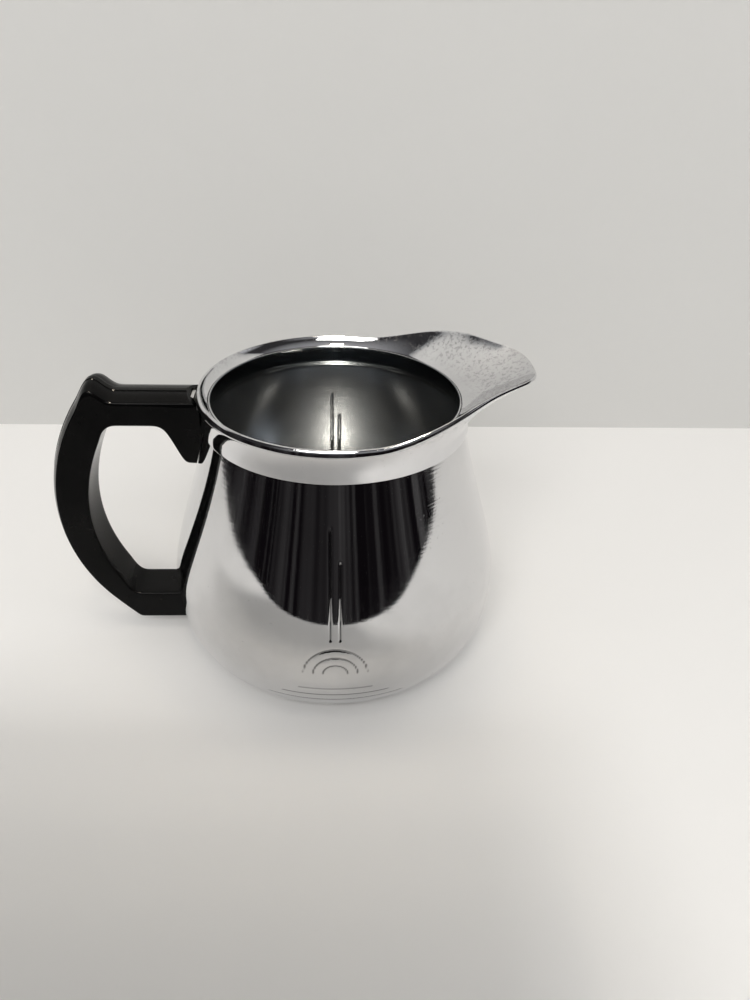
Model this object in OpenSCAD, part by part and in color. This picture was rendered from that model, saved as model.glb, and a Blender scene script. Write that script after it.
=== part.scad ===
// Pouring pot for melting candle wax: a drawn pear-shaped metal body, a collar pressed
// over its neck with a rolled lip and a pouring spout, and a moulded D-shaped handle held
// on two welded brackets by two screws.
// +Z is up, the table is Z = 0, the axis of the body is X = Y = 0,
// the spout points along +X and the handle along -X. Millimetres throughout.

/* [Body] */
// Width of the body at its widest level
body_d = 130; // [100:1:160]
// Height of that widest level above the table
body_z = 33.3; // [25:0.1:45]
// Width of the flat bottom
base_d = 86; // [60:1:100]
// Width of the body just under the collar
shoulder_d = 96.8; // [80:0.1:110]
// Height of the shoulder on which the collar sits
shoulder_z = 98.2; // [80:0.1:120]
// Outside width of the neck inside the collar
neck_d = 93.2; // [80:0.1:105]
// Height of the mouth edge of the neck
neck_z = 107.2; // [90:0.1:130]
// Thickness of the sheet of the body
wall = 0.8; // [0.5:0.1:1.5]

/* [Collar and spout] */
// Width across the plain part of the lip
lip_d = 101.2; // [90:0.1:115]
// Height of the plain part of the lip
lip_z = 110.7; // [100:0.1:125]
// Height of the rolled edge at the sides of the collar
roll_h = 3; // [2:0.1:4]
// Height of the rolled edge at the tip of the spout
tip_roll_h = 1.3; // [1:0.1:2.5]
// Reach of the spout tip from the axis
spout_reach = 73; // [60:0.5:85]
// Rise of the spout sides above the lip
spout_rise = 9.5; // [4:0.5:15]
// Drop of the spout tip below its sides
tip_drop = 2.1; // [0:0.1:5]
// Gap between the collar and the neck it is pressed over
collar_gap = 0.1; // [0:0.05:0.3]

/* [Handle] */
// Width of the handle across its flat sides
handle_w = 17; // [12:0.5:24]
// Height of the upper side of the upper arm
arm_top_z = 106.9; // [95:0.1:115]
// Height of the finger side of the upper arm
arm_under_z = 97.3; // [85:0.1:105]
// Height of the finger side of the lower arm
low_top_z = 19.8; // [15:0.1:30]
// Height of the bottom of the lower arm
low_under_z = 7.0; // [4:0.1:15]
// Reach of the grip from the axis on its finger side
grip_in = 95.0; // [80:0.1:110]
// Reach of the grip from the axis on its outer side
grip_out = 107.0; // [90:0.1:125]
// Height of the crown on the outer side of the arms
crown_h = 1.4; // [0:0.1:3]
// Height of the crown on the outer side of the grip
grip_crown_h = 2.2; // [0:0.1:4]
// Width of the flat land along the crown
land_w = 3; // [1:0.5:6]
// Height of the land above the crown
land_h = 0.4; // [0:0.1:1]
// Gap between the ends of the handle and the pot
handle_gap = 0.25; // [0.1:0.05:0.6]

/* [Brackets and screws] */
// Width of each bracket
bracket_w = 6.6; // [5:0.1:10]
// Thickness of each bracket
bracket_t = 1.2; // [0.8:0.1:2]
// Thread diameter of the handle screws
screw_d = 4; // [3:0.5:5]
// Diameter of the screw heads
head_d = 7; // [5:0.1:9]
// Thickness of the screw heads
head_h = 2.4; // [1.5:0.1:4]
// Thickness of the washers
washer_t = 0.8; // [0.5:0.1:1.2]

/* [Hidden] */
body_r = body_d / 2;
shoulder_r = shoulder_d / 2;
skirt_r = shoulder_r + 1;
neck_r = neck_d / 2;
lip_r = lip_d / 2;
hw = handle_w / 2;
slot_gap = 0.25;
weld_gap = 0.05;
seat_depth = 2.2;
screw_l = 6.2;
// level and end of the tongue of each bracket, and the screw through it
upper_tongue_z = arm_under_z + 5.4;
upper_tongue_end = -75;
upper_screw_x = -70;
upper_wall_x = -53;
lower_tongue_z = low_under_z + 5.3;
lower_tongue_end = -80;
lower_screw_x = -75;
lower_wall_x = -64.9;

// ---- curves -------------------------------------------------------------------------
function mix(a, b, t) = a + (b - a) * t;
function smooth(t) = let (u = min(1, max(0, t))) u * u * (3 - 2 * u);
function bez(p, t) = let (s = 1 - t)
    s * s * s * p[0] + 3 * s * s * t * p[1] + 3 * s * t * t * p[2] + t * t * t * p[3];
function curve(p, n, skip = 0) = [for (i = [skip : n]) bez(p, i / n)];
function unit(v) = v / norm(v);
// the same open line moved sideways by d, to the left of its direction
function shifted(p, d) = [for (i = [0 : len(p) - 1])
    let (a = p[max(0, i - 1)], b = p[min(len(p) - 1, i + 1)], u = unit(b - a))
    p[i] + d * [-u[1], u[0]]];

// outside line of the body from the edge of the flat bottom to the shoulder
body_line = concat(
    curve([[base_d / 2, 0], [base_d / 2 + 20, 0], [body_r, body_z - 12.9], [body_r, body_z]], 14),
    curve([[body_r, body_z], [body_r, body_z + 13], [shoulder_r + 6.5, shoulder_z - 29.6],
           [shoulder_r, shoulder_z]], 20, 1));

// outside of the whole pot, grown by g: what the handle and the brackets are cut to
module pot_outside(g = 0) {
    collar_r = skirt_r + 0.5 + g;
    nose_r = lip_r + 0.3 + g;
    rotate_extrude($fn = 180)
        polygon(concat([[0, -1]], [[base_d / 2, -1]], shifted(body_line, -g),
            [[collar_r, shoulder_z - 0.2 - g], [collar_r, lip_z - 3.4 - g],
             [nose_r, lip_z - 3 - g], [nose_r, lip_z + 3], [0, lip_z + 3]]));
}

// ---- body: one drawn sheet, flat bottom, pear shape, narrow neck ----------------------
module body_shell() {
    inner = shifted(body_line, wall);
    color("silver")
    rotate_extrude($fn = 180)
        polygon(concat(
            [[0, 0]],
            body_line,
            [[neck_r, shoulder_z + 3], [neck_r, neck_z - 0.2], [neck_r - 0.2, neck_z],
             [neck_r - wall + 0.2, neck_z], [neck_r - wall, neck_z - 0.2],
             [neck_r - wall, shoulder_z + 2.4]],
            [for (i = [len(inner) - 1 : -1 : 0]) inner[i]],
            [[0, wall]]));
}

// ---- collar: skirt round the neck, rolled lip, spout ----------------------------------
// each station is [direction of the section, reach of the lip]
side_line = curve([[65, 17.8], [45.5, 35], [42.3, 43.9], [8.8, 49.8]], 14);
tip_line = curve([[spout_reach, 0], [spout_reach, 8], [70, 13.2], [65, 17.8]], 6);
half_line = concat(
    [for (p = tip_line) [atan2(p[1], p[0]), norm(p)]],
    [for (i = [1 : 14]) let (p = side_line[i]) [atan2(p[1], p[0]), norm(p)]],
    [for (i = [1 : 16]) [80 + 100 * i / 16, lip_r]]);
stations = concat(half_line,
    [for (i = [len(half_line) - 2 : -1 : 1]) [-half_line[i][0], half_line[i][1]]]);

function lip_height(a) = lip_z + spout_rise * smooth((76 - abs(a)) / 50)
    - tip_drop * pow(max(0, 1 - abs(a) / 24), 2);
function roll(a) = mix(tip_roll_h, roll_h, smooth((abs(a) - 15) / 75))
    + 0.3 * smooth((abs(a) - 90) / 80);

// closed outline of the collar in one direction: skirt, underside, roll, funnel, inside
function section(a, reach) =
    let (n = roll(a), z = lip_height(a), wide = 0.42 * n, tall = 1.16 * n,
         c = [reach + 0.3 - wide, z - tall],
         f = [neck_r + 0.3, neck_z + 0.1],
         s = smooth((80 - abs(a)) / 60),
         sag = mix(0.36, 0.5, smooth(abs(a) / 75)),
         mid = [mix(f[0], reach, 0.5), mix(f[1], z, sag)],
         edge = c + [wide * cos(22), tall * sin(22)],
         low = edge - [0.42, 0.36] * n / 2.8,
         top = c + [wide * cos(103), tall * sin(103)])
    concat(
        [[skirt_r + 0.12, shoulder_z - 0.2], [skirt_r + 0.4, shoulder_z - 0.2],
         [skirt_r + 0.3, shoulder_z + 1.8]],
        [for (i = [0 : 7]) bez([[skirt_r + 0.18, shoulder_z + 4.3],
            [mix(skirt_r + 0.16, skirt_r + 1.1, s), mix(shoulder_z + 7, shoulder_z + 9.3, s)],
            [mix(f[0], low[0], mix(0.9, 0.6, s)),
             mix(low[1] - 0.8, mix(f[1], z, sag + 0.05) - 0.5, s)], low], i / 8)],
        [low, edge - [0.12, 0.33] * n / 2.8],
        [for (i = [0 : 6]) let (w = 22 + 81 * i / 6) c + [wide * cos(w), tall * sin(w)]],
        [for (i = [1 : 6]) bez([top, mix(top, mid, 0.667), mix(f, mid, 0.667), f], i / 6)],
        [[neck_r + collar_gap, neck_z - 0.2], [neck_r + collar_gap, shoulder_z + 3.2],
         [skirt_r + 0.12, shoulder_z + 0.4]]);

module spout_collar() {
    rings = [for (s = stations) section(s[0], s[1])];
    n = len(rings);
    m = len(rings[0]);
    color("gainsboro")
    polyhedron(
        points = [for (i = [0 : n - 1]) for (p = rings[i])
            [p[0] * cos(stations[i][0]), p[0] * sin(stations[i][0]), p[1]]],
        faces = [for (i = [0 : n - 1]) for (j = [0 : m - 1])
            let (i2 = (i + 1) % n, j2 = (j + 1) % m)
            each [[i * m + j, i * m + j2, i2 * m + j2], [i * m + j, i2 * m + j2, i2 * m + j]]],
        convexity = 8);
}

// ---- handle ---------------------------------------------------------------------------
// finger side and outer side, matched point for point from the collar to the foot
function along(p, q, n) = [for (i = [0 : n - 1]) mix(p, q, i / n)];
finger_side = concat(
    along([-44, 81.5], [-54.6, 81.9], 2),
    curve([[-54.6, 81.9], [-57.0, 81.9], [-57.6, 85.5], [-60.9, 92.4]], 4),
    curve([[-60.9, 92.4], [-62.8, 96.6], [-64.4, arm_under_z], [-68, arm_under_z]], 4, 1),
    along([-71, arm_under_z], [-80, arm_under_z], 2),
    curve([[-80, arm_under_z], [-86, arm_under_z], [-87.0, 91], [-89.2, 86]], 6),
    curve([[-89.2, 86], [-grip_in - 2.6, 66], [-grip_in - 2.6, 46], [-87.2, 27]], 14, 1),
    curve([[-87.2, 27], [-85.4, 23], [-84, low_top_z], [-80.5, low_top_z]], 5, 1),
    along([-76, low_top_z], [-55, low_top_z], 4), [[-55, low_top_z]]);
outer_side = concat(
    along([-44, arm_top_z], [-54.6, arm_top_z], 2),
    along([-54.6, arm_top_z], [-60.9, arm_top_z], 4), [[-60.9, arm_top_z]],
    along([-62.4, arm_top_z], [-68, arm_top_z], 3), [[-68, arm_top_z]],
    along([-71, arm_top_z], [-79.5, arm_top_z], 2),
    curve([[-79.5, arm_top_z], [-83.8, arm_top_z], [-84.9, 111.3], [-88, 111.3]], 4),
    curve([[-88, 111.3], [-90.4, 111.3], [-92.0, 106.6], [-94.2, 102.6]], 2, 1),
    curve([[-94.2, 102.6], [-grip_out - 5.1, 75], [-grip_out - 4.7, 42], [-93.1, 18.9]], 14, 1),
    curve([[-93.1, 18.9], [-89.9, 15.2], [-86.2, 11.0], [-82, low_under_z]], 5, 1),
    along([-76, low_under_z], [-50, low_under_z], 4), [[-50, low_under_z]]);

module grip_sweep() {
    n = min(len(finger_side), len(outer_side));
    y1 = hw - 0.8;
    y2 = land_w / 2;
    rings = [for (i = [0 : n - 1])
        let (a = finger_side[i], b = outer_side[i], u = unit(b - a), d = norm(b - a),
             c = mix(crown_h, grip_crown_h, smooth((-b[0] - 84) / 12)))
        [for (q = [[-y1, 0], [-hw, 0.7], [-hw, d - 0.7], [-y1, d],
                   [-mix(y1, y2, 0.45), d + 0.7 * c], [-y2 - 0.4, d + c],
                   [-y2, d + c + land_h], [y2, d + c + land_h],
                   [y2 + 0.4, d + c], [mix(y1, y2, 0.45), d + 0.7 * c],
                   [y1, d], [hw, d - 0.7], [hw, 0.7], [y1, 0]])
            [a[0] + u[0] * q[1], q[0], a[1] + u[1] * q[1]]]];
    m = len(rings[0]);
    polyhedron(
        points = [for (r = rings) each r],
        faces = concat(
            [[for (j = [0 : m - 1]) j]],
            [for (i = [0 : n - 2]) for (j = [0 : m - 1]) let (j2 = (j + 1) % m)
                each [[i * m + j, (i + 1) * m + j, (i + 1) * m + j2],
                      [i * m + j, (i + 1) * m + j2, i * m + j2]]],
            [[for (j = [m - 1 : -1 : 0]) (n - 1) * m + j]]),
        convexity = 8);
}

module handle() {
    color([0.09, 0.09, 0.1])
    difference() {
        grip_sweep();
        pot_outside(handle_gap);
        lip_relief();
        // the brackets stand in slots in both ends and show in them from above
        bracket_slot(upper_wall_x, arm_top_z - 23.4, 30, upper_tongue_end, upper_tongue_z);
        bracket_slot(lower_wall_x, low_under_z + 1.6, 20, lower_tongue_end, lower_tongue_z);
        screw_hole(upper_screw_x, upper_tongue_z, arm_under_z);
        screw_hole(lower_screw_x, lower_tongue_z, low_under_z);
    }
}

// the upper end is rounded off to clear the rolled lip above it
module lip_relief() {
    rotate_extrude($fn = 180)
        polygon([[lip_r - 2, lip_z - 6.4], [lip_r + 0.3, lip_z - 6.4], [lip_r + 0.9, lip_z - 5],
                 [lip_r + 1.6, lip_z - 4], [lip_r + 2.8, lip_z - 3.2], [lip_r + 4.4, lip_z - 1.6],
                 [lip_r + 4.4, lip_z + 4], [lip_r - 2, lip_z + 4]]);
}

// room for the upright plate of a bracket and for its tongue
module bracket_slot(wall_x, z, h, tongue_end, tongue_z) {
    w = bracket_w + 2 * slot_gap;
    translate([wall_x - slot_gap, -w / 2, z]) cube([20, w, h]);
    translate([tongue_end - slot_gap, -w / 2, tongue_z - bracket_t / 2 - slot_gap])
        cube([wall_x - tongue_end + 2, w, bracket_t + 2 * slot_gap]);
}

// hole for a screw from below, with a seat for its washer and head
module screw_hole(x, tongue_z, face_z) {
    translate([x, 0, face_z + seat_depth / 2])
        cylinder(h = screw_l - washer_t + 0.2 + seat_depth / 2, d = screw_d + 0.6, $fn = 40);
    translate([x, 0, face_z - 3])
        cylinder(h = 3 + seat_depth, d = head_d + 1, $fn = 48);
}

// ---- brackets: upright plate welded to the pot, tongue into the arm --------------------
module bracket(plate, tongue_start, tongue_end, tongue_z, hole_x) {
    difference() {
        union() {
            rotate([90, 0, 0]) translate([0, 0, -bracket_w / 2])
                linear_extrude(bracket_w) polygon(plate);
            translate([tongue_end, -bracket_w / 2, tongue_z - bracket_t / 2])
                cube([tongue_start - tongue_end, bracket_w, bracket_t]);
        }
        pot_outside(weld_gap);
        translate([hole_x, 0, tongue_z - 3]) cylinder(h = 6, d = screw_d, $fn = 40);
    }
}

module upper_bracket() {
    color("lightgray")
    bracket([[upper_wall_x + bracket_t, arm_top_z - 0.2], [upper_wall_x, arm_top_z - 0.2],
             [upper_wall_x, arm_top_z - 23], [upper_wall_x + 3.4, arm_top_z - 23],
             [upper_wall_x + 3.4, arm_top_z - 20], [upper_wall_x + bracket_t, arm_top_z - 17]],
        upper_wall_x + 0.6, upper_tongue_end, upper_tongue_z, upper_screw_x);
}

module lower_bracket() {
    color("lightgray")
    bracket([[-58, low_under_z + 1.9], [-61.3, low_under_z + 1.9], [-63.4, 13.6],
             [-64.9, low_top_z - 0.2], [-60, low_top_z - 0.2]],
        -62.4, lower_tongue_end, lower_tongue_z, lower_screw_x);
}

// ---- screws and washers, the same at both ends -----------------------------------------
module screw(x, face_z) {
    translate([x, 0, face_z + seat_depth - washer_t])
    difference() {
        union() {
            cylinder(h = screw_l, d = screw_d - 0.1, $fn = 40);
            translate([0, 0, -head_h]) cylinder(h = head_h - 0.02, d = head_d, $fn = 48);
            translate([0, 0, -1]) cylinder(h = 1.5, d = screw_d - 0.1, $fn = 40);
        }
        translate([-head_d, -0.5, -head_h - 1]) cube([2 * head_d, 1, 1.9]);
    }
}

module handle_screws() {
    color("silver") {
        screw(upper_screw_x, arm_under_z);
        screw(lower_screw_x, low_under_z);
    }
}

module washer(x, face_z) {
    translate([x, 0, face_z + seat_depth - washer_t])
    difference() {
        cylinder(h = washer_t - 0.02, d = head_d + 0.6, $fn = 48);
        translate([0, 0, -1]) cylinder(h = washer_t + 2, d = screw_d + 0.3, $fn = 40);
    }
}

module screw_washers() {
    color("silver") {
        washer(upper_screw_x, arm_under_z);
        washer(lower_screw_x, low_under_z);
    }
}

body_shell();
spout_collar();
handle();
upper_bracket();
lower_bracket();
handle_screws();
screw_washers();
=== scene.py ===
# %% [markdown]
# # A pouring pot for candle wax, in polished metal with a moulded handle
# The pot is a drawn pear-shaped shell, a pressed collar with a spout over its neck, and a
# black D-shaped handle on two hidden brackets. The measured model of it is loaded first and
# stays as the frame: every piece made here goes where that model says, in metres, with +Z
# up, the spout along +X and the handle along -X.

# %% Load the measured frame
import math
import bmesh
import bpy
from mathutils import Matrix, Vector


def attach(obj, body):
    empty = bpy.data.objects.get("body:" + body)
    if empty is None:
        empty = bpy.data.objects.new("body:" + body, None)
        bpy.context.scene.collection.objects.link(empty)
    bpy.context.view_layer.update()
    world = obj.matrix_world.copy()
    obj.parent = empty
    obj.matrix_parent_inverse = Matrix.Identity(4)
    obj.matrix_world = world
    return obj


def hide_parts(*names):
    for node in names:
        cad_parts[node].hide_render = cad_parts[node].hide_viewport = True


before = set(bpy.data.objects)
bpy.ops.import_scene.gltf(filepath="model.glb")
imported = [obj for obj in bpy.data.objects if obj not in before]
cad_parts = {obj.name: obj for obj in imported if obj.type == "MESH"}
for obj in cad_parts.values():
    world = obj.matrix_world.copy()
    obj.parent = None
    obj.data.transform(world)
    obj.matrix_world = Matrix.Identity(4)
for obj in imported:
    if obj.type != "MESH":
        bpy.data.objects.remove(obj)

bpy.context.view_layer.update()
print("frame nodes:", sorted(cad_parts))

# %% [markdown]
# ## The camera
# It stands at the height of someone's eyes over a table and looks down at the pot. Its axes
# are built from three plain angles, because a turn written as yaw, pitch and roll is easier
# to read and to change than a quaternion. It comes before the pieces, so that a mistake in
# the view shows early.

# %% Place the camera
CAMERA_SPOT = Vector((0.0, -0.2711, 0.2343))
YAW, PITCH, ROLL = (math.radians(a) for a in (3.35, 32.63, 1.88))


def add_camera():
    forward = Vector((math.sin(YAW) * math.cos(PITCH), math.cos(YAW) * math.cos(PITCH),
                      -math.sin(PITCH)))
    right = Vector((math.cos(YAW), -math.sin(YAW), 0))
    up = right.cross(forward)
    side = right * math.cos(ROLL) + up * math.sin(ROLL)
    top = up * math.cos(ROLL) - right * math.sin(ROLL)
    data = bpy.data.cameras.new("table_view")
    data.lens, data.sensor_width = 28.8, 36
    data.clip_start, data.clip_end = 0.01, 50
    camera = bpy.data.objects.new("table_view", data)
    camera.matrix_world = Matrix((side, top, -forward)).transposed().to_4x4()
    camera.location = CAMERA_SPOT
    bpy.context.scene.collection.objects.link(camera)
    bpy.context.scene.camera = camera
    return camera


camera = add_camera()
print("camera at", [round(c, 3) for c in camera.location], "lens", camera.data.lens)

# %% [markdown]
# ## Curves and small tools
# All outlines are given as Bezier curves in millimetres, as a draughtsman would, and are
# turned into metres only when they become mesh points. The outline of the body is the same
# curve that the measured model uses, so the two surfaces agree.

# %% Curve helpers
MM = 0.001


def mix(a, b, t):
    return a + (b - a) * t


def smooth(t):
    t = min(1.0, max(0.0, t))
    return t * t * (3 - 2 * t)


def bezier(points, steps, skip=0):
    """Points on a cubic Bezier curve; skip leaves out the first ones."""
    made = []
    for k in range(skip, steps + 1):
        t = k / steps
        s = 1 - t
        weight = (s * s * s, 3 * s * s * t, 3 * s * t * t, t * t * t)
        made.append(tuple(sum(w * p[axis] for w, p in zip(weight, points)) for axis in (0, 1)))
    return made


def sideways(line, distance):
    """The same open line moved to the left of its direction."""
    moved = []
    for k, (x, y) in enumerate(line):
        before, after = line[max(0, k - 1)], line[min(len(line) - 1, k + 1)]
        dx, dy = after[0] - before[0], after[1] - before[1]
        length = math.hypot(dx, dy)
        moved.append((x - distance * dy / length, y + distance * dx / length))
    return moved


BODY_LOW = [(43, 0), (63, 0), (65, 20.4), (65, 33.3)]
BODY_HIGH = [(65, 33.3), (65, 46.3), (54.9, 68.6), (48.4, 98.2)]
NECK_R, NECK_TOP, SHEET = 46.6, 107.2, 0.8
SHOULDER_R, SHOULDER_Z = 48.4, 98.2
SKIRT_R = 49.4
print("body outline from", BODY_LOW[0], "to", BODY_HIGH[-1], "mm")

# %% Mesh helpers
def edit(piece, mode="VERT"):
    """Opens a piece in edit mode with nothing selected."""
    bpy.ops.object.select_all(action="DESELECT")
    piece.select_set(True)
    bpy.context.view_layer.objects.active = piece
    bpy.ops.object.mode_set(mode="EDIT")
    bpy.ops.mesh.select_mode(type=mode)
    bpy.ops.mesh.select_all(action="DESELECT")


def leave():
    bpy.ops.object.mode_set(mode="OBJECT")


def added(name):
    """The object that an add operator has just made, under its own name."""
    piece = bpy.context.view_layer.objects.active
    piece.name = piece.data.name = name
    return piece


def modify(piece, kind, **settings):
    """Adds one modifier and applies it at once."""
    bpy.ops.object.select_all(action="DESELECT")
    piece.select_set(True)
    bpy.context.view_layer.objects.active = piece
    modifier = piece.modifiers.new(kind.lower(), kind)
    for key, value in settings.items():
        setattr(modifier, key, value)
    bpy.ops.object.modifier_apply(modifier=modifier.name)


def smooth_shade(piece, degrees=None):
    bpy.ops.object.select_all(action="DESELECT")
    piece.select_set(True)
    bpy.context.view_layer.objects.active = piece
    if degrees is None:
        bpy.ops.object.shade_smooth()
    else:
        bpy.ops.object.shade_smooth_by_angle(angle=math.radians(degrees))


def report(piece):
    triangles = sum(len(p.vertices) - 2 for p in piece.data.polygons)
    size = [round(1000 * d, 1) for d in piece.dimensions]
    print(f"{piece.name}: {triangles} triangles, {size} mm")


def lathe(name, outline, columns, closed=False):
    """Spins an outline of (radius, height) points in mm round the Z axis."""
    bpy.ops.object.select_all(action="DESELECT")
    bpy.ops.mesh.primitive_circle_add(vertices=len(outline), radius=0.05)
    piece = added(name)
    for vertex, (r, z) in zip(piece.data.vertices, outline):
        vertex.co = (r * MM, 0, z * MM)
    edit(piece, "EDGE")
    if not closed:
        leave()
        last = len(outline) - 1
        for e in piece.data.edges:
            e.select = set(e.vertices) == {0, last}
        bpy.ops.object.mode_set(mode="EDIT")
        bpy.ops.mesh.delete(type="EDGE")
    bpy.ops.mesh.select_all(action="SELECT")
    bpy.ops.mesh.spin(steps=columns, angle=2 * math.pi, center=(0, 0, 0), axis=(0, 0, 1))
    bpy.ops.mesh.select_all(action="SELECT")
    bpy.ops.mesh.remove_doubles(threshold=1e-6)
    bpy.ops.mesh.dissolve_degenerate(threshold=1e-7)
    bpy.ops.mesh.select_all(action="SELECT")
    bpy.ops.mesh.normals_make_consistent(inside=False)
    leave()
    return piece


# %% [markdown]
# ## The body
# The real body is one sheet of steel, drawn into a deep cup, bulged out in a split mould and
# necked in at the top. On the computer it could be a sculpted ball or a stack of scaled
# rings; here one outline, outside and inside of the sheet together, is spun round the axis,
# because that gives a mirror surface with no bumps in it and a true wall thickness at once.

# %% Spin the body
BODY_COLUMNS = 240


def body_side():
    return bezier(BODY_LOW, 70) + bezier(BODY_HIGH, 90, 1)


def body_outline():
    outside = body_side()
    inside = sideways(outside, SHEET)
    neck_out = [(48.2, 99.6), (47.0, 100.5), (NECK_R, 101.6), (NECK_R, 104.2),
                (NECK_R, NECK_TOP - 0.3), (NECK_R - 0.1, NECK_TOP - 0.08),
                (NECK_R - 0.3, NECK_TOP)]
    neck_in = [(NECK_R - 0.5, NECK_TOP), (NECK_R - 0.7, NECK_TOP - 0.08),
               (NECK_R - SHEET, NECK_TOP - 0.3), (NECK_R - SHEET, 104.2),
               (NECK_R - SHEET, 101.4), (46.3, 100.0), (47.5, 99.0)]
    floor_out = [(0, 0)] + [(r, 0) for r in (8, 16, 24, 32, 38, 41)]
    floor_in = [(r, SHEET) for r in (41, 38, 32, 24, 16, 8)] + [(0, SHEET)]
    return floor_out + outside + neck_out + neck_in + inside[::-1] + floor_in


body = lathe("pot_body", body_outline(), BODY_COLUMNS)
report(body)

# %% [markdown]
# The sheet is decorated with lines that were pressed in from outside, so they stand out
# again on the inside. A bump in the finish would be lost at the edge of a reflection, so
# they are moved into the mesh. The columns of the mesh are first gathered towards the
# front and the back, where the lines are, which a shape spun round an axis allows without
# any change of shape. The pattern is a plain one: a fan of three arcs between three level
# lines and two uprights.

# %% Gather the columns
BELLY_R = 65
COLUMN_NEAR, COLUMN_GROWTH = 0.45, 3.477e-4    # mm apart at the middle, and how that grows


def gather_columns(piece):
    """Moves the columns round the axis, close together at the front and the back."""
    step = 360 / BODY_COLUMNS
    for vertex in piece.data.vertices:
        x, y, z = vertex.co
        reach = math.hypot(x, y)
        if reach < 1e-5:
            continue
        turn = math.degrees(math.atan2(y, x))
        centre = 90 if turn > 0 else -90
        k = abs(turn - centre) / step
        away = COLUMN_NEAR * k + COLUMN_GROWTH * k ** 3
        side = 1 if turn > centre else -1
        new = math.radians(centre) + side * away / BELLY_R
        vertex.co = (reach * math.cos(new), reach * math.sin(new), z)
    piece.data.update()


gather_columns(body)
print("columns are", COLUMN_NEAR, "mm apart at the front and the back")

# %% Press the lines into the sheet
LINE_DEPTH, LINE_WIDTH = 0.30, 0.40
UPRIGHTS = ((-1.7, 55, 96), (1.7, 55, 84))     # place, foot and head of each upright line
LEVELS = ((24, 26), (28, 20), (32, 14))        # height and half length of each level line
FAN_FOOT, FAN_RADII = 40, (4.5, 8, 11.5)
LINED_R, LINED_Z, LINED_HALF = 44, (2, 92), 30  # nothing outside this is looked at
side_line = body_side()
climb = [0.0]
for before, after in zip(side_line, side_line[1:]):
    climb.append(climb[-1] + math.dist(before, after))


def climbed(z):
    """Length of sheet in mm from the edge of the flat bottom up to a height."""
    for (_, low), (_, high), s0, s1 in zip(side_line, side_line[1:], climb, climb[1:]):
        if z <= high:
            return mix(s0, s1, (z - low) / (high - low)) if high > low else s0
    return climb[-1]


def line_mark(distance, inside):
    """Soft profile across a line, faded out where inside is below zero."""
    return math.exp(-(distance / LINE_WIDTH) ** 2) * smooth(inside + 0.5)


def pressed(u, s):
    """Depth from 0 to 1 at u mm beside the middle line and s mm up the sheet."""
    marks = [line_mark(abs(u - place), min(s - foot, head - s)) for place, foot, head in UPRIGHTS]
    marks += [line_mark(abs(s - level), half - abs(u)) for level, half in LEVELS]
    marks += [line_mark(abs(math.hypot(u, s - FAN_FOOT) - radius), s - FAN_FOOT)
              for radius in FAN_RADII]
    return max(marks)


def press_lines(piece):
    """Moves both faces of the sheet inwards along the lines, and marks where it did."""
    moves = []
    groove = piece.data.attributes.new("pressed_line", "FLOAT", "POINT")
    for vertex in piece.data.vertices:
        x, y, z = (c / MM for c in vertex.co)
        reach = math.hypot(x, y)
        if reach < LINED_R or not LINED_Z[0] < z < LINED_Z[1]:
            continue
        u = math.asin(x / reach) * reach
        if abs(u) > LINED_HALF:
            continue
        mark = pressed(u, climbed(z))
        if mark > 0.01:
            groove.data[vertex.index].value = mark
            depth = LINE_DEPTH * mark * MM
            normal = vertex.normal.copy()
            outward = normal.x * x + normal.y * y > 0
            moves.append((vertex.index, normal * (-depth if outward else depth)))
    for index, move in moves:
        piece.data.vertices[index].co += move
    print("pressed", len(moves), "points of", piece.name)


press_lines(body)
smooth_shade(body, 50)
report(body)

# %% [markdown]
# ## The collar
# The collar is pressed from thicker sheet, with its edge rolled over and one side drawn out
# into a spout. A ring with a closed section is what a torus is, so a torus is added with
# enough segments and each of its points is then moved to its place on the section at its
# own direction. Spinning alone couldn't give the spout, and sculpting it would lose the
# even roll of the edge.

# %% Plan and height of the lip
TIP_LINE = [(73, 0), (73, 8), (70, 13.2), (65, 17.8)]
SIDE_LINE = [(65, 17.8), (45.5, 35), (42.3, 43.9), (8.8, 49.8)]
LIP_R, LIP_Z, SPOUT_RISE, TIP_DROP = 50.6, 110.7, 9.5, 2.1
ROLL_SIDE, ROLL_TIP = 3.0, 1.3
COLLAR_COLUMNS = 220


def lip_plan():
    """Directions and reaches of the lip, evenly spaced along its edge."""
    half = bezier(TIP_LINE, 40) + bezier(SIDE_LINE, 120, 1)
    half += [(LIP_R * math.cos(math.radians(a)), LIP_R * math.sin(math.radians(a)))
             for a in range(81, 181)]
    whole = half + [(x, -y) for x, y in half[-2:0:-1]]
    steps = [math.dist(p, q) for p, q in zip(whole, whole[1:] + whole[:1])]
    total, plan, k, gone = sum(steps), [], 0, 0.0
    for column in range(COLLAR_COLUMNS):
        want = total * column / COLLAR_COLUMNS
        while gone + steps[k] < want:
            gone += steps[k]
            k += 1
        t = (want - gone) / steps[k]
        x, y = (mix(whole[k][i], whole[(k + 1) % len(whole)][i], t) for i in (0, 1))
        plan.append((math.degrees(math.atan2(y, x)), math.hypot(x, y)))
    return plan


def lip_height(a):
    drop = TIP_DROP * (1 + (a / 8.5) ** 2) ** -1.2
    return LIP_Z + SPOUT_RISE * smooth((76 - abs(a)) / 50) - drop * smooth((34 - abs(a)) / 20)


def roll_size(a):
    return mix(ROLL_TIP, ROLL_SIDE, smooth((abs(a) - 15) / 75)) + 0.3 * smooth((abs(a) - 90) / 80)


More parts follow.
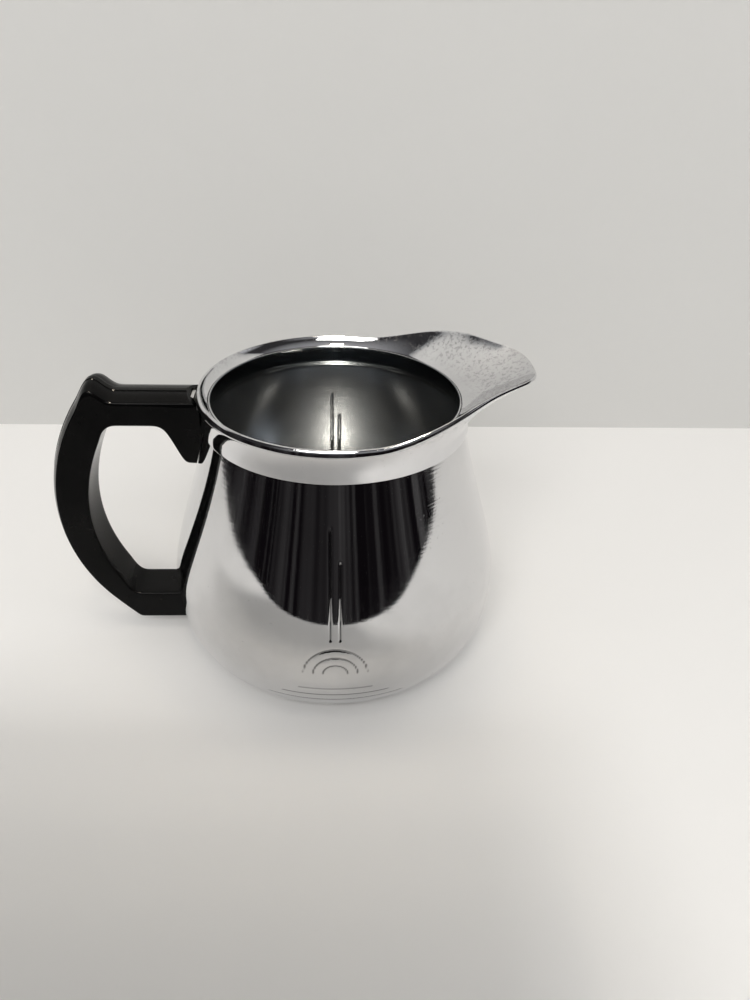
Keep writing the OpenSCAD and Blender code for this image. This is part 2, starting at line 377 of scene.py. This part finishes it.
# %% Section of the collar in one direction
def collar_section(a, reach):
    n, z = roll_size(a), lip_height(a)
    wide, tall = 0.42 * n, 1.16 * n
    centre = (reach + 0.3 - wide, z - tall)
    foot = (NECK_R + 0.3, NECK_TOP + 0.1)
    s = smooth((80 - abs(a)) / 60)
    sag = mix(0.36, 0.5, smooth(abs(a) / 75))
    middle = (mix(foot[0], reach, 0.5), mix(foot[1], z, sag))

    def nose(w):
        w = math.radians(w)
        return (centre[0] + wide * math.cos(w), centre[1] + tall * math.sin(w))

    edge, top, size = nose(22), nose(103), n / 2.8
    low = (edge[0] - 0.42 * size, edge[1] - 0.36 * size)
    under = bezier([(SKIRT_R + 0.18, SHOULDER_Z + 4.3),
                    (mix(SKIRT_R + 0.16, SKIRT_R + 1.1, s),
                     mix(SHOULDER_Z + 7.0, SHOULDER_Z + 9.3, s)),
                    (mix(foot[0], low[0], mix(0.9, 0.6, s)),
                     mix(low[1] - 0.8, mix(foot[1], z, sag + 0.05) - 0.5, s)), low], 12)
    curl = [(edge[0] - 0.22 * size, edge[1] - 0.36 * size),
            (edge[0] - 0.05 * size, edge[1] - 0.24 * size)]
    blend = [(mix(top[i], middle[i], 0.667), mix(foot[i], middle[i], 0.667)) for i in (0, 1)]
    funnel = bezier([top, (blend[0][0], blend[1][0]), (blend[0][1], blend[1][1]), foot], 10, 1)
    return ([(SKIRT_R + 0.12, SHOULDER_Z - 0.16), (SKIRT_R + 0.26, SHOULDER_Z - 0.2),
             (SKIRT_R + 0.40, SHOULDER_Z - 0.14), (SKIRT_R + 0.42, SHOULDER_Z + 0.1),
             (SKIRT_R + 0.35, SHOULDER_Z + 1.2), (SKIRT_R + 0.26, SHOULDER_Z + 2.7)]
            + under + curl + [nose(22 + 81 * k / 13) for k in range(14)] + funnel
            + [(NECK_R + 0.12, NECK_TOP - 0.1), (NECK_R + 0.1, NECK_TOP - 0.6),
               (NECK_R + 0.1, NECK_TOP - 3), (NECK_R + 0.1, SHOULDER_Z + 3.2),
               (mix(NECK_R, SKIRT_R, 0.5), SHOULDER_Z + 1.8), (SKIRT_R + 0.12, SHOULDER_Z + 0.4)])


plan = lip_plan()
print("lip reaches", round(max(r for _, r in plan), 1), "mm at the spout and",
      round(min(r for _, r in plan), 1), "mm elsewhere")

# %% Shape the torus into the collar
def make_collar():
    rows = len(collar_section(*plan[0]))
    bpy.ops.object.select_all(action="DESELECT")
    bpy.ops.mesh.primitive_torus_add(major_segments=COLLAR_COLUMNS, minor_segments=rows,
                                     major_radius=0.05, minor_radius=0.005)
    piece = added("pouring_collar")
    for column, (a, reach) in enumerate(plan):
        turn = math.radians(a)
        for row, (r, z) in enumerate(collar_section(a, reach)):
            piece.data.vertices[column * rows + row].co = (
                r * math.cos(turn) * MM, r * math.sin(turn) * MM, z * MM)
    edit(piece)
    bpy.ops.mesh.select_all(action="SELECT")
    bpy.ops.mesh.normals_make_consistent(inside=False)
    leave()
    modify(piece, "SUBSURF", levels=1, render_levels=1)
    smooth_shade(piece)
    return piece


collar = make_collar()
report(collar)

# %% [markdown]
# ## The handle
# The real handle is one moulding of black phenolic plastic: two arms and a curved grip, with
# flat sides, rounded edges, a crowned back and a narrow raised land along the crown. It
# could be carved from a block with many cuts. A sweep is closer to how its mould was cut: a
# plane is extruded along the D from one arm to the other, and each new ring takes its place
# between the line of the finger side and the line of the outer side.

# %% The two lines of the handle
HANDLE_W, EDGE_R = 17.0, 0.9
ARM_TOP, ARM_UNDER, LOW_TOP, LOW_UNDER = 106.9, 97.3, 19.8, 7.0


def straight(p, q):
    return [p, (mix(p[0], q[0], 1 / 3), mix(p[1], q[1], 1 / 3)),
            (mix(p[0], q[0], 2 / 3), mix(p[1], q[1], 2 / 3)), q]


# finger side, outer side, steps
HANDLE_RUNS = [
    (straight((-44, 81.5), (-54.6, 81.9)), straight((-44, ARM_TOP), (-54.6, ARM_TOP)), 8),
    ([(-54.6, 81.9), (-57.0, 81.9), (-57.6, 85.5), (-60.9, 92.4)],
     straight((-54.6, ARM_TOP), (-60.9, ARM_TOP)), 10),
    ([(-60.9, 92.4), (-62.8, 96.6), (-64.4, ARM_UNDER), (-68, ARM_UNDER)],
     straight((-60.9, ARM_TOP), (-68, ARM_TOP)), 8),
    (straight((-68, ARM_UNDER), (-80, ARM_UNDER)), straight((-68, ARM_TOP), (-79.5, ARM_TOP)), 5),
    ([(-80, ARM_UNDER), (-83.4, ARM_UNDER), (-85.2, 95.2), (-86.4, 92.4)],
     [(-79.5, ARM_TOP), (-83.8, ARM_TOP), (-84.9, 111.3), (-88, 111.3)], 10),
    ([(-86.4, 92.4), (-87.3, 90.2), (-88.2, 88.3), (-89.2, 86)],
     [(-88, 111.3), (-90.4, 111.3), (-92.0, 106.6), (-94.2, 102.6)], 7),
    ([(-89.2, 86), (-97.6, 66), (-97.6, 46), (-87.2, 27)],
     [(-94.2, 102.6), (-112.1, 75), (-111.7, 42), (-93.1, 18.9)], 36),
    ([(-87.2, 27), (-85.4, 23), (-84, LOW_TOP), (-80.5, LOW_TOP)],
     [(-93.1, 18.9), (-89.9, 15.2), (-86.2, 11.0), (-82, LOW_UNDER)], 12),
    (straight((-80.5, LOW_TOP), (-55, LOW_TOP)), straight((-82, LOW_UNDER), (-50, LOW_UNDER)), 14),
]


def handle_lines():
    finger, outer = [], []
    for near, far, steps in HANDLE_RUNS:
        skip = 1 if finger else 0
        finger += bezier(near, steps, skip)
        outer += bezier(far, steps, skip)
    return finger, outer


# %% One ring across the handle
def handle_ring(a, b):
    """Points round the handle between a finger-side point a and an outer-side point b."""
    length = math.dist(a, b)
    ux, uz = (b[0] - a[0]) / length, (b[1] - a[1]) / length
    crown = mix(1.4, 2.2, smooth((-b[0] - 84) / 12))
    hw, e = HANDLE_W / 2, EDGE_R
    half = [(-hw * 0.5, 0.0)]
    half += [(-hw + e + e * math.cos(math.radians(w)), e + e * math.sin(math.radians(w)))
             for w in (270, 240, 210, 180)]
    half += [(-hw, length * 0.5)]
    half += [(-hw + e + e * math.cos(math.radians(w)), length - e + e * math.sin(math.radians(w)))
             for w in (180, 150, 120, 97)]
    half += [(mix(-hw + e, -1.9, 0.33), length + 0.56 * crown),
             (mix(-hw + e, -1.9, 0.7), length + 0.9 * crown), (-1.95, length + crown),
             (-1.62, length + crown + 0.06), (-1.5, length + crown + 0.34),
             (-1.2, length + crown + 0.4)]
    ring = half + [(-y, q) for y, q in reversed(half)]
    return [Vector((a[0] + ux * q, y, a[1] + uz * q)) * MM for y, q in ring]


finger_line, outer_line = handle_lines()
print("handle rings:", len(finger_line), "with", len(handle_ring((0, 0), (0, 10))), "points each")

# %% Sweep the handle
def sweep_handle():
    rings = [handle_ring(a, b) for a, b in zip(finger_line, outer_line)]
    count = len(rings[0])
    bpy.ops.object.select_all(action="DESELECT")
    bpy.ops.mesh.primitive_circle_add(vertices=count, radius=0.01, fill_type="NGON")
    piece = added("moulded_handle")
    for vertex, place in zip(piece.data.vertices, rings[0]):
        vertex.co = place
    edit(piece)
    mesh = bmesh.from_edit_mesh(piece.data)
    bpy.ops.mesh.select_all(action="SELECT")
    for ring in rings[1:]:
        bpy.ops.mesh.extrude_region_move()
        mesh = bmesh.from_edit_mesh(piece.data)
        mesh.verts.index_update()
        for k, vertex in enumerate(v for v in mesh.verts if v.select):
            vertex.co = ring[k]
    bmesh.update_edit_mesh(piece.data)
    bpy.ops.mesh.select_all(action="SELECT")
    bpy.ops.mesh.normals_make_consistent(inside=False)
    leave()
    return piece


handle = sweep_handle()
report(handle)

# %% [markdown]
# ## Fitting the handle to the pot
# The arms of the real handle end a quarter of a millimetre from the steel, with a slot in
# each end for the upright plate of a bracket and a hole below for its screw. The same is
# done here with cutters: the sweep is made smooth first, then a grown copy of the pot, the
# slots and the screw seats are taken out of it.

# %% Cutters
HANDLE_GAP, SLOT_GAP = 0.25, 0.25
BRACKET_W, BRACKET_T = 6.6, 1.2
UPPER = dict(wall=-53.0, low=83.5, tongue_z=102.7, tongue_end=-75.0, screw=-70.0, face=97.3)
LOWER = dict(wall=-64.9, low=8.6, tongue_z=12.3, tongue_end=-80.0, screw=-75.0, face=7.0)


def pot_cutter():
    g = HANDLE_GAP
    line = bezier(BODY_LOW, 16) + bezier(BODY_HIGH, 30, 1)
    skirt, nose = SKIRT_R + 0.5 + g, LIP_R + 0.3 + g
    outline = ([(0, -1), (43, -1)] + sideways(line, -g)
               + [(skirt, SHOULDER_Z - 0.2 - g), (skirt, LIP_Z - 3.4 - g),
                  (nose, LIP_Z - 3.0 - g), (nose, LIP_Z + 3), (0, LIP_Z + 3)])
    return lathe("cutter_pot", outline, 180)


def lip_cutter():
    outline = [(LIP_R - 2, 104.3), (LIP_R + 0.3, 104.3), (LIP_R + 0.6, 104.9),
               (LIP_R + 0.9, 105.7), (LIP_R + 1.2, 106.3), (LIP_R + 1.6, 106.8),
               (LIP_R + 2.1, 107.2), (LIP_R + 2.8, 107.5), (LIP_R + 3.6, 108.2),
               (LIP_R + 4.4, 109.1), (LIP_R + 4.4, 115), (LIP_R - 2, 115)]
    return lathe("cutter_lip", outline, 180, closed=True)


def block_cutter(name, low, high):
    bpy.ops.object.select_all(action="DESELECT")
    middle = [(a + b) / 2 * MM for a, b in zip(low, high)]
    size = [(b - a) * MM for a, b in zip(low, high)]
    bpy.ops.mesh.primitive_cube_add(size=1, location=middle, scale=size)
    bpy.ops.object.transform_apply()
    return added(name)


def round_cutter(name, x, low, high, diameter):
    bpy.ops.object.select_all(action="DESELECT")
    bpy.ops.mesh.primitive_cylinder_add(vertices=64, radius=diameter / 2 * MM,
                                        depth=(high - low) * MM,
                                        location=(x * MM, 0, (low + high) / 2 * MM))
    bpy.ops.object.transform_apply()
    return added(name)


def end_cutters(name, end):
    half = BRACKET_W / 2 + SLOT_GAP
    tall = 30 if name == "upper" else 20
    return [
        block_cutter(f"cutter_{name}_slot", (end["wall"] - SLOT_GAP, -half, end["low"]),
                     (end["wall"] + 20, half, end["low"] + tall)),
        block_cutter(f"cutter_{name}_tongue",
                     (end["tongue_end"] - SLOT_GAP, -half, end["tongue_z"] - 0.85),
                     (end["wall"] + 2, half, end["tongue_z"] + 0.85)),
        round_cutter(f"cutter_{name}_bore", end["screw"], end["face"] + 1.1,
                     end["face"] + 7.8, 4.6),
        round_cutter(f"cutter_{name}_seat", end["screw"], end["face"] - 3,
                     end["face"] + 2.2, 8.0)]


# %% Cut the handle
def cut(piece, cutters):
    for cutter in cutters:
        modify(piece, "BOOLEAN", operation="DIFFERENCE", solver="EXACT", object=cutter)
        bpy.data.objects.remove(cutter)


modify(handle, "SUBSURF", levels=1, render_levels=1)
cut(handle, [pot_cutter(), lip_cutter()] + end_cutters("upper", UPPER)
    + end_cutters("lower", LOWER))
smooth_shade(handle, 32)
report(handle)

# %% [markdown]
# ## Writing finishes
# Every finish is a small network of shader nodes. Written node by node such a network is
# long and hard to read, so a tiny class wraps an output socket and lets Python's own signs
# add the maths nodes. Any other node comes from one method that takes its type, its
# settings and its inputs.

# %% A socket that can be reckoned with
class Wire:
    def __init__(self, finish, socket):
        self.finish, self.socket = finish, socket

    def reckon(self, operation, *others, first=True):
        node = self.finish.tree.nodes.new("ShaderNodeMath")
        node.operation = operation
        values = (self,) + others if first else others + (self,)
        for socket, value in zip(node.inputs, values):
            if isinstance(value, Wire):
                self.finish.tree.links.new(value.socket, socket)
            else:
                socket.default_value = value
        return Wire(self.finish, node.outputs[0])

    def __add__(self, other): return self.reckon("ADD", other)
    def __radd__(self, other): return self.reckon("ADD", other)
    def __sub__(self, other): return self.reckon("SUBTRACT", other)
    def __rsub__(self, other): return self.reckon("SUBTRACT", other, first=False)
    def __mul__(self, other): return self.reckon("MULTIPLY", other)
    def __rmul__(self, other): return self.reckon("MULTIPLY", other)


class Finish:
    """One material under construction."""

    def __init__(self, name):
        self.material = bpy.data.materials.new(name)
        self.material.use_nodes = True
        self.tree = self.material.node_tree
        self.tree.nodes.clear()
        self.place = self.node("TexCoord", out="Object")

    def node(self, kind, settings=None, out=0, **sockets):
        node = self.tree.nodes.new("ShaderNode" + kind)
        for key, value in (settings or {}).items():
            if key == "stops":
                ramp = node.color_ramp
                while len(ramp.elements) < len(value):
                    ramp.elements.new(0.5)
                for element, (spot, shade) in zip(ramp.elements, value):
                    element.position = spot
                    element.color = (shade, shade, shade, 1)
            else:
                setattr(node, key, value)
        for key, value in sockets.items():
            name = key.replace("_", " ")
            socket = next(s for s in node.inputs if s.enabled and name in (s.name, s.identifier))
            if isinstance(value, Wire):
                self.tree.links.new(value.socket, socket)
            else:
                socket.default_value = value
        return Wire(self, node.outputs[out])

    def stretched(self, scale, turn=(0, 0, 0)):
        """Object coordinates turned and stretched, for a pattern with a direction."""
        return self.node("Mapping", Vector=self.place, Rotation=turn, Scale=scale)

    def noise(self, scale, detail=2.0, rough=0.5, vector=None):
        return self.node("TexNoise", Vector=vector or self.place, Scale=scale, Detail=detail,
                         Roughness=rough)

    def ramp(self, value, *stops):
        """Greys between stops; the colour output is used as one number."""
        return self.node("ValToRGB", {"stops": stops}, Fac=value)

    def bump(self, height, strength, distance, normal=None):
        more = {"Normal": normal} if normal else {}
        return self.node("Bump", Height=height, Strength=strength, Distance=distance, **more)

    def tint(self, factor, low, high):
        """A colour between two others, each a tuple or the result of another tint."""
        ends = [c if isinstance(c, Wire) else (*c, 1) for c in (low, high)]
        return self.node("Mix", {"data_type": "RGBA"}, out="Result", Factor=factor, A=ends[0],
                         B=ends[1])

    def along(self, axis):
        """One of the object coordinates, in metres."""
        return self.node("SeparateXYZ", Vector=self.place, out=axis)

    def show(self, shader):
        """Sends a shader to the output and gives the finished material."""
        output = self.tree.nodes.new("ShaderNodeOutputMaterial")
        self.tree.links.new(shader.socket, output.inputs["Surface"])
        return self.material

    def surface(self, **sockets):
        return self.show(self.node("BsdfPrincipled", **sockets))


print("finish helpers ready")

# %% [markdown]
# ## Polished plating
# The outside is nickel and chrome over polished steel. A single mirror value would look like
# a computer's idea of chrome; the real one has a slow waviness from the drawing press, a
# haze of fine wiping scratches that turns up only where light grazes it, and a few dried
# drops. So the roughness is near zero, broken by two sets of stretched noise, and the
# waviness is a very shallow bump. The lip has fine pits as well, and the pressed lines are
# made darker and rougher, which an attribute of the mesh shows the finish.

# %% Mirror plating
def mirror_plating(name, tint_low, tint_high, lined=False, pitted_above=1.0):
    """Bright plating; lined darkens the pressed lines, and fine pits start above a height."""
    f = Finish(name)
    wipe = f.noise(90, 3, 0.6, f.stretched((1, 1, 16), (0.3, 0.2, 0)))
    cross = f.noise(120, 3, 0.6, f.stretched((14, 1, 1), (0, 0.5, 0.7)))
    haze = f.ramp(f.noise(22, 4, 0.6), (0.45, 0), (0.75, 1))
    drops = f.ramp(f.node("TexVoronoi", out="Distance", Vector=f.place, Scale=85,
                          Randomness=1.0), (0.05, 0.35), (0.10, 1), (0.13, 0))
    some = f.ramp(f.noise(28, 1), (0.60, 0), (0.64, 1))
    specks = f.ramp(f.noise(1100, 2), (0.68, 0), (0.75, 1)) * f.ramp(f.noise(60, 2), (0.5, 0),
                                                                     (0.7, 1))
    fine = f.ramp(wipe, (0.6, 0), (0.8, 1)) + f.ramp(cross, (0.62, 0), (0.8, 1))
    high = f.along("Z") - pitted_above
    pits = f.ramp(f.noise(700, 3, 0.7), (0.50, 0), (0.62, 1)) * f.ramp(high * 300, (0, 0), (1, 1))
    hairs = f.ramp(f.noise(150, 2, 0.6, f.stretched((1, 1, 0.05), (0.9, 0.5, 0.3))), (0.68, 0),
                   (0.72, 1)) * f.ramp(f.noise(30, 1), (0.5, 0), (0.6, 1))
    marks = drops * some + specks + 0.8 * pits + 0.6 * hairs
    rough = 0.03 + 0.04 * haze + 0.07 * fine + 0.22 * marks
    wave = f.bump(f.noise(16, 1), 0.16, 0.0012)
    normal = f.bump(wipe + cross + 0.6 * marks, 0.07, 0.00005, wave)
    colour = f.tint(0.35 * haze + 0.65 * marks, tint_low, tint_high)
    if lined:
        # The pressed lines are darkened towards near black and made rougher.
        line = f.node("Attribute", {"attribute_name": "pressed_line"}, out="Fac")
        colour = f.tint(f.ramp(line, (0.25, 0), (0.8, 0.75)), colour, (0.05, 0.05, 0.05))
        rough = rough + 0.1 * line
    return f.surface(Base_Color=colour, Metallic=1.0, Roughness=rough, Normal=normal)


body_plating = mirror_plating("polished_plating", (0.66, 0.66, 0.665), (0.34, 0.34, 0.345),
                              lined=True)
collar_plating = mirror_plating("collar_plating", (0.74, 0.74, 0.75), (0.38, 0.38, 0.39),
                                pitted_above=0.1075)

print("plating made:", body_plating.name, "and", collar_plating.name)

# %% [markdown]
# ## The inside
# Nobody polishes the inside of such a pot: it keeps the soft shine of the rolled sheet, with
# faint rings from the tool that bulged it. It could be the same plating with a higher
# roughness, but it is also a duller metal, so it is a finish of its own. Its colour is much
# darker in the neck: that is painted shade.

# %% Satin inside of the pot
def satin_inside():
    f = Finish("satin_inside")
    rings = f.noise(60, 2, 0.5, f.stretched((0.15, 0.15, 6)))
    cloud = f.noise(18, 3, 0.6)
    # Painted shade: the colour falls to a dark grey in the neck, from 97 to 99 mm up.
    below_painted_neck_shade = f.ramp(f.along("Z") * 8, (0.776, 1), (0.792, 0))
    rough = 0.15 + 0.05 * cloud + 0.04 * rings
    normal = f.bump(rings, 0.25, 0.00008, f.bump(cloud, 0.2, 0.0006))
    shade = below_painted_neck_shade * (0.8 + 0.2 * cloud)
    return f.surface(Base_Color=f.tint(shade, (0.09, 0.10, 0.11), (0.38, 0.40, 0.425)),
                     Metallic=1.0, Roughness=rough, Normal=normal)


inside_finish = satin_inside()

print("inside made:", inside_finish.name)

# %% [markdown]
# ## The black moulding
# Phenolic plastic is deep black and glossy, and age gives it rubbed patches, fine hairs and
# dust. A plain black would look like a hole, so the detail is put into the roughness and a
# very shallow bump, and the colour hardly changes.

# %% Black phenolic moulding
def black_moulding():
    f = Finish("black_moulding")
    rub = f.ramp(f.noise(40, 4, 0.65), (0.4, 0), (0.75, 1))
    dust = f.ramp(f.noise(900, 2, 0.5), (0.66, 0), (0.74, 1))
    hair = f.ramp(f.noise(160, 2, 0.5, f.stretched((1, 6, 14), (0.5, 0.2, 0.9))),
                  (0.66, 0), (0.74, 1))
    rough = 0.06 + 0.07 * rub + 0.16 * hair + 0.3 * dust
    skin = f.bump(f.noise(700, 2), 0.08, 0.00006, f.bump(f.noise(45, 1), 0.15, 0.0004))
    return f.surface(Base_Color=f.tint(rub, (0.0015, 0.0015, 0.0015), (0.004, 0.0038, 0.0038)),
                     Roughness=rough, Normal=skin, Specular_IOR_Level=0.09)


black_finish = black_moulding()

print("moulding made:", black_finish.name)

# %% [markdown]
# ## The small steel parts
# The brackets, screws and washers are bare bright steel with a grain and dull spots. They are
# small and stay as the measured model has them, so one function makes all three finishes,
# with the grain turned the way each part was made.

# %% Plain steel of the brackets, screws and washers
def plain_steel(name, shade, scale):
    f = Finish(name)
    grain = f.noise(260, 3, 0.6, f.stretched(scale))
    spots = f.ramp(f.noise(120, 3), (0.5, 0), (0.8, 1))
    rough = 0.28 + 0.14 * grain + 0.18 * spots
    return f.surface(Base_Color=f.tint(spots, (shade,) * 3, (shade * 0.75,) * 3), Metallic=1.0,
                     Roughness=rough, Normal=f.bump(grain, 0.3, 0.00005))


bracket_finish = plain_steel("bracket_steel", 0.62, (1, 12, 1))
screw_finish = plain_steel("screw_steel", 0.58, (1, 1, 6))
washer_finish = plain_steel("washer_steel", 0.60, (4, 4, 1))

print("steel made:", bracket_finish.name, screw_finish.name, washer_finish.name)

# %% Give the finishes out
def give(piece, *finishes):
    piece.data.materials.clear()
    for finish in finishes:
        piece.data.materials.append(finish)


def inside_of_body(face):
    """True for a face on the inner side of the sheet."""
    c, n = face.center, face.normal
    outward = n.x * c.x + n.y * c.y
    if abs(c.x) + abs(c.y) < 0.042 and c.z < 0.0015:
        return n.z > 0
    return outward < 0 and c.z < NECK_TOP * MM


give(body, body_plating, inside_finish)
for face in body.data.polygons:
    face.material_index = 1 if inside_of_body(face) else 0
give(collar, collar_plating)
give(handle, black_finish)
for node, finish in (("upper_bracket", bracket_finish), ("lower_bracket", bracket_finish),
                     ("handle_screws", screw_finish), ("screw_washers", washer_finish)):
    give(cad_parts[node], finish)

# %% [markdown]
# ## Bodies
# Nothing on this pot moves, so all pieces ride on the one body of the frame. The three new
# pieces stand for their measured twins, which stay hidden for the physics.

# %% Tell the frame
for piece, node, slot in ((body, "body_shell", "plated_body"),
                          (collar, "spout_collar", "plated_collar"),
                          (handle, "handle", "black_moulding")):
    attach(piece, "root")
    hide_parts(node)
    print(piece.name, "stands for", node)

# %% [markdown]
# ## The table, the wall and the light
# The pot stands on a plain pale floor before a plain pale wall. Polished metal shows
# whatever is round it, so the room matters as much as the metal: a dark room in front
# gives the mirror its depth. It is made of dark cards that only reflections can see, as a
# studio hangs black flags out of view. The floor and the wall are clear from their backs, so
# that the pot can be viewed from every side and from below.

# %% Floor and wall
WALL_Y = 0.181


def one_sided_paint(name, shade):
    """Paint on the front of a plane, which is clear when it is seen from its back."""
    f = Finish(name)
    tint = f.tint(f.noise(1.3, 3, 0.6), tuple(0.97 * c for c in shade), shade)
    paint = f.node("BsdfPrincipled", Base_Color=tint, Roughness=0.8)
    clear = f.node("BsdfTransparent")
    both = f.node("MixShader", Fac=f.node("NewGeometry", out="Backfacing"))
    f.tree.links.new(paint.socket, both.socket.node.inputs[1])
    f.tree.links.new(clear.socket, both.socket.node.inputs[2])
    return f.show(both)


def plane(name, size, place, turn=(0, 0, 0)):
    bpy.ops.object.select_all(action="DESELECT")
    bpy.ops.mesh.primitive_plane_add(size=1, location=place, rotation=turn)
    piece = added(name)
    piece.scale = (size[0], size[1], 1)
    bpy.ops.object.transform_apply()
    return piece


floor = plane("floor", (12, 12), (0, 0, 0))
give(floor, one_sided_paint("pale_floor", (0.80, 0.79, 0.775)))
wall = plane("wall", (12, 6), (0, WALL_Y, 3), (math.radians(90), 0, 0))
give(wall, one_sided_paint("pale_wall", (0.54, 0.535, 0.52)))
print("floor at z = 0 and wall at y =", WALL_Y, "m")

# %% A room that only reflections see
def glow_finish(name, writer):
    """A finish that shines by itself, with its strength written by a function."""
    f = Finish(name)
    return f.show(f.node("Emission", Color=writer(f), Strength=1.0))


def hide_from_all_but_reflections(card):
    card.visible_camera = card.visible_diffuse = card.visible_shadow = False
    card.visible_transmission = card.visible_volume_scatter = False


ROOM_R = 5


# The room is no lamp: it glows by itself and only reflections see it, so all it shows is painted
# reflection.
def painted_room_reflection(f):
    """Painted reflection of a room: dark glowing walls, a lighter far wall ahead and a grey
    ceiling.
    """
    x, y, z = (f.along(axis) * (1 / ROOM_R) for axis in "XYZ")
    ceiling = f.ramp(z, (0.72, 0), (0.98, 1))
    back = f.ramp(y, (0.0, 0), (0.35, 1))
    ahead = f.ramp(0 - y, (0.55, 0), (0.8, 1)) * f.ramp(z, (0.12, 0), (0.34, 1), (0.55, 1),
                                                        (0.66, 0))
    right = f.ramp(x, (0.86, 0), (0.95, 1))
    light = (ceiling * 0.5).reckon("MAXIMUM", back * 0.7) + 0.3 * ahead + 0.6 * right
    return f.tint(light, (0.035, 0.034, 0.036), (0.80, 0.80, 0.82))


def painted_folds(f):
    """Painted light and shade of upright cloth on a dark glowing card, paler at the right of the
    table.
    """
    painted_fold_shade = f.ramp(f.noise(11, 2, 0.6, f.stretched((1, 1, 0.03))), (0.45, 0), (0.75, 1))
    lines = f.ramp(f.noise(30, 1, 0.5, f.stretched((1, 1, 0.02), (0, 0, 0.3))), (0.58, 0),
                   (0.72, 1))
    pale = f.ramp(f.along("X"), (0.40, 0), (0.43, 1)) * painted_fold_shade
    return f.tint(painted_fold_shade * 0.30 + lines * 0.25 + pale * 0.4, (0.005, 0.004, 0.005),
                  (0.15, 0.145, 0.145))


def add_room():
    bpy.ops.object.select_all(action="DESELECT")
    bpy.ops.mesh.primitive_uv_sphere_add(segments=48, ring_count=24, radius=ROOM_R)
    room = added("room")
    give(room, glow_finish("painted_room_reflection", painted_room_reflection))
    hide_from_all_but_reflections(room)
    return room


def add_curtain():
    """A dark glowing curtain, seen only in reflections, where the table ends, in front and at both
    sides.
    """
    plan = [(-0.31, 0.14), (-0.36, 0.08), (-0.40, 0.0), (-0.42, -0.10), (-0.415, -0.20),
            (-0.38, -0.28), (-0.325, -0.312), (0.345, -0.312), (0.405, -0.288), (0.445, -0.235),
            (0.46, -0.165), (0.455, -0.05), (0.42, 0.03), (0.36, 0.10)]
    bpy.ops.object.select_all(action="DESELECT")
    bpy.ops.mesh.primitive_circle_add(vertices=len(plan), radius=0.3)
    curtain = added("curtain")
    for vertex, (x, y) in zip(curtain.data.vertices, plan):
        vertex.co = (x, y, 0.0004)
    for e in curtain.data.edges:
        e.select = set(e.vertices) == {0, len(plan) - 1}
    bpy.ops.object.mode_set(mode="EDIT")
    bpy.ops.mesh.select_mode(type="EDGE")
    bpy.ops.mesh.delete(type="EDGE")
    bpy.ops.mesh.select_all(action="SELECT")
    bpy.ops.mesh.extrude_edges_move(TRANSFORM_OT_translate={"value": (0, 0, 0.17)})
    leave()
    give(curtain, glow_finish("curtain_folds", painted_folds))
    hide_from_all_but_reflections(curtain)
    return curtain


add_room()
add_curtain()
print("room and curtain stand round the table, for reflections only")

# %% Light
def soft_light(name, place, aim, size, power, shade=(1, 1, 1)):
    data = bpy.data.lights.new(name, "AREA")
    data.shape, data.size, data.size_y = "RECTANGLE", *size
    data.energy, data.color = power, shade
    lamp = bpy.data.objects.new(name, data)
    lamp.location = place
    lamp.rotation_euler = (Vector(aim) - Vector(place)).to_track_quat("-Z", "Y").to_euler()
    bpy.context.scene.collection.objects.link(lamp)
    return lamp


soft_light("front_panel", (-0.25, -1.80, 1.62), (0, 0, 0.1), (1.7, 0.9), 40,
           (1.0, 0.985, 0.96))
glint = soft_light("top_light", (-0.02, -0.62, 2.3), (0, 0, 0), (0.24, 0.5), 110,
                   (1.0, 0.88, 0.70))
glint.visible_diffuse = False    # it only puts a warm shine inside the pot and on edges


def add_shade():
    """A card over the front of the table, which only takes a little light away there."""
    card = plane("shade_card", (0.36, 0.27), (-0.11, -0.25, 0.065), (0, 0, 0))
    f = Finish("shade_card")
    give(card, f.surface(Base_Color=(0.05, 0.05, 0.05, 1), Roughness=1.0, Alpha=0.62))
    card.visible_camera = card.visible_glossy = False
    return card


add_shade()
WORLD_SHADE, WORLD_STRENGTH = (0.95, 0.97, 1.0, 1), 0.60
world = bpy.data.worlds.new("pale_room")
bpy.context.scene.world = world
world.use_nodes = True
background = world.node_tree.nodes["Background"]
background.inputs["Color"].default_value = WORLD_SHADE
background.inputs["Strength"].default_value = WORLD_STRENGTH
bpy.context.scene.view_settings.view_transform = "Standard"
print("lit by a front panel, a top light and a pale world of strength", WORLD_STRENGTH)

# %% Update the view layer
bpy.context.view_layer.update()
